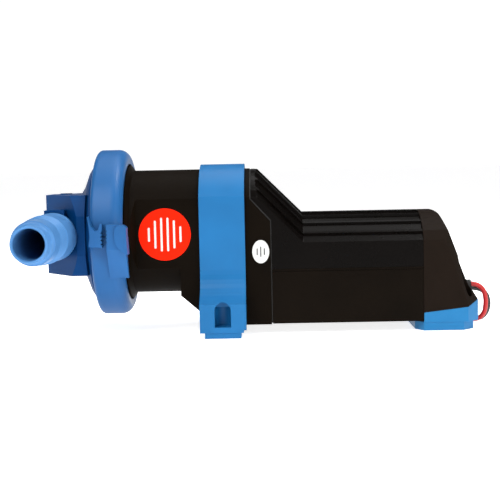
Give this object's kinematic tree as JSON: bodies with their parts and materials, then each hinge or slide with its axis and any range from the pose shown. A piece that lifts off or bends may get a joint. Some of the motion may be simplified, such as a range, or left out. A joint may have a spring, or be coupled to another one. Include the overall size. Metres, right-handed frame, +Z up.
{
  "type": "electric diaphragm bilge pump",
  "caption": "Motor-driven diaphragm bilge pump with a swivelling two-port head, latch clamp ring, mounting strap, ribbed motor housing and loose power leads.",
  "frame": {"origin": "midway between the two front mounting holes, on the underside of the front feet", "axes": "+X along the pump from the head to the motor end cap, +Z up away from the mounting surface"},
  "size_m": [0.3406, 0.264, 0.1366],
  "materials": {
    "head_blue": "satin moulded nylon",
    "hosetail_blue": "satin moulded nylon",
    "ring_blue": "satin moulded nylon",
    "strap_blue": "satin moulded nylon",
    "foot_blue": "satin moulded nylon",
    "body_black": "fine textured glass-filled nylon",
    "housing_black": "glossy moulded plastic",
    "tray_black": "semi-gloss moulded plastic",
    "cap_black": "fine textured plastic",
    "seal_rubber": "moulded rubber",
    "steel": "turned steel",
    "acetal": "natural acetal",
    "bronze": "sintered bronze",
    "core_iron": "varnished steel laminations",
    "copper": "copper",
    "carbon": "carbon brush",
    "brown_phenolic": "phenolic board",
    "cast_alloy": "die-cast alloy",
    "zinc_steel": "zinc-plated steel",
    "ferrite": "ferrite",
    "capacitor_blue": "dipped epoxy",
    "label_red": "printed vinyl, no lettering",
    "label_white": "printed vinyl, no lettering",
    "wire_red": "PVC insulation",
    "wire_black": "PVC insulation"
  },
  "bodies": {
    "pump": {"clamp_ring_lower": "ring_blue", "clamp_hinge_pin": "steel", "diaphragm": "seal_rubber", "yoke_guide": "bronze", "axle_bushes": "bronze", "brushes": "carbon", "brush_springs": "steel", "brush_plate": "brown_phenolic", "worm_bush": "bronze", "gear_carrier": "cast_alloy", "carrier_screws": "steel", "motor_can": "zinc_steel", "motor_magnets": "ferrite", "motor_front_bell": "cast_alloy", "motor_rear_bell": "cast_alloy", "motor_bearings": "steel", "motor_screws": "steel", "body_housing": "body_black", "housing_gasket": "seal_rubber", "housing_cover": "housing_black", "housing_tray": "tray_black", "end_cap": "cap_black", "wire_grommet": "seal_rubber", "noise_suppressor": "capacitor_blue", "mounting_strap": "strap_blue", "front_foot_pads": "strap_blue", "rear_foot": "foot_blue", "round_label": "label_red", "oval_label": "label_white", "red_wire": "wire_red", "black_wire": "wire_black", "red_wire_coil": "wire_red", "black_wire_coil": "wire_black", "red_wire_end": "copper", "black_wire_end": "copper"},
    "head": {"pump_head": "head_blue", "flap_clips": "head_blue"},
    "outlet_hose": {"outlet_hosetail": "hosetail_blue", "outlet_o_ring": "seal_rubber"},
    "inlet_hose": {"inlet_hosetail": "hosetail_blue", "inlet_o_ring": "seal_rubber"},
    "outlet_valve": {"outlet_flap": "seal_rubber"},
    "inlet_valve": {"inlet_flap": "seal_rubber"},
    "clamp_upper": {"clamp_ring_upper": "ring_blue"},
    "piston": {"diaphragm_front_plate": "acetal", "diaphragm_back_plate": "acetal", "diaphragm_screw": "steel", "yoke": "acetal"},
    "crank": {"crank_axle": "steel", "eccentric_cams": "steel", "cam_bushes": "bronze", "worm_wheel": "acetal"},
    "armature": {"armature_shaft": "steel", "armature_core": "core_iron", "armature_windings": "copper", "commutator": "copper", "worm": "steel"}
  },
  "joints": [
    {"name": "crank_turn", "type": "hinge", "parent": "pump", "child": "crank", "pos_m": [-0.008, 0, 0.0745], "axis": [0, 1, 0], "range_deg": [-90, 90]},
    {"name": "motor_spin", "type": "hinge", "parent": "pump", "child": "armature", "pos_m": [0.04, 0, 0.0472], "axis": [1, 0, 0], "range_deg": [-2250, 2250]},
    {"name": "diaphragm_stroke", "type": "slide", "parent": "pump", "child": "piston", "axis": [1, 0, 0], "range_m": [-0.0057, 0.0057]},
    {"name": "head_swivel", "type": "hinge", "parent": "pump", "child": "head", "pos_m": [-0.1, 0, 0.0745], "axis": [1, 0, 0], "continuous": true},
    {"name": "outlet_twist", "type": "hinge", "parent": "head", "child": "outlet_hose", "pos_m": [-0.121, 0.06, 0.0745], "axis": [0, 1, 0], "range_deg": [0, 60]},
    {"name": "inlet_twist", "type": "hinge", "parent": "head", "child": "inlet_hose", "pos_m": [-0.121, -0.06, 0.0745], "axis": [0, -1, 0], "range_deg": [0, 60]},
    {"name": "outlet_flap_lift", "type": "hinge", "parent": "head", "child": "outlet_valve", "pos_m": [-0.1111, 0.0292, 0.0745], "axis": [0, 0, -1], "range_deg": [0, 24], "stiffness_Nm_per_rad": 0.01},
    {"name": "inlet_flap_lift", "type": "hinge", "parent": "head", "child": "inlet_valve", "pos_m": [-0.1038, -0.0292, 0.0745], "axis": [0, 0, -1], "range_deg": [0, 20], "stiffness_Nm_per_rad": 0.01},
    {"name": "clamp_ring_open", "type": "hinge", "parent": "pump", "child": "clamp_upper", "pos_m": [-0.082, 0.0657, 0.0745], "axis": [-1, 0, 0], "range_deg": [0, 75]}
  ],
  "couplings": [
    {"joint": "motor_spin", "follows": "crank_turn", "ratio": -25},
    {"joint": "diaphragm_stroke", "follows": "crank_turn", "m_per_rad": 0.00362}
  ]
}
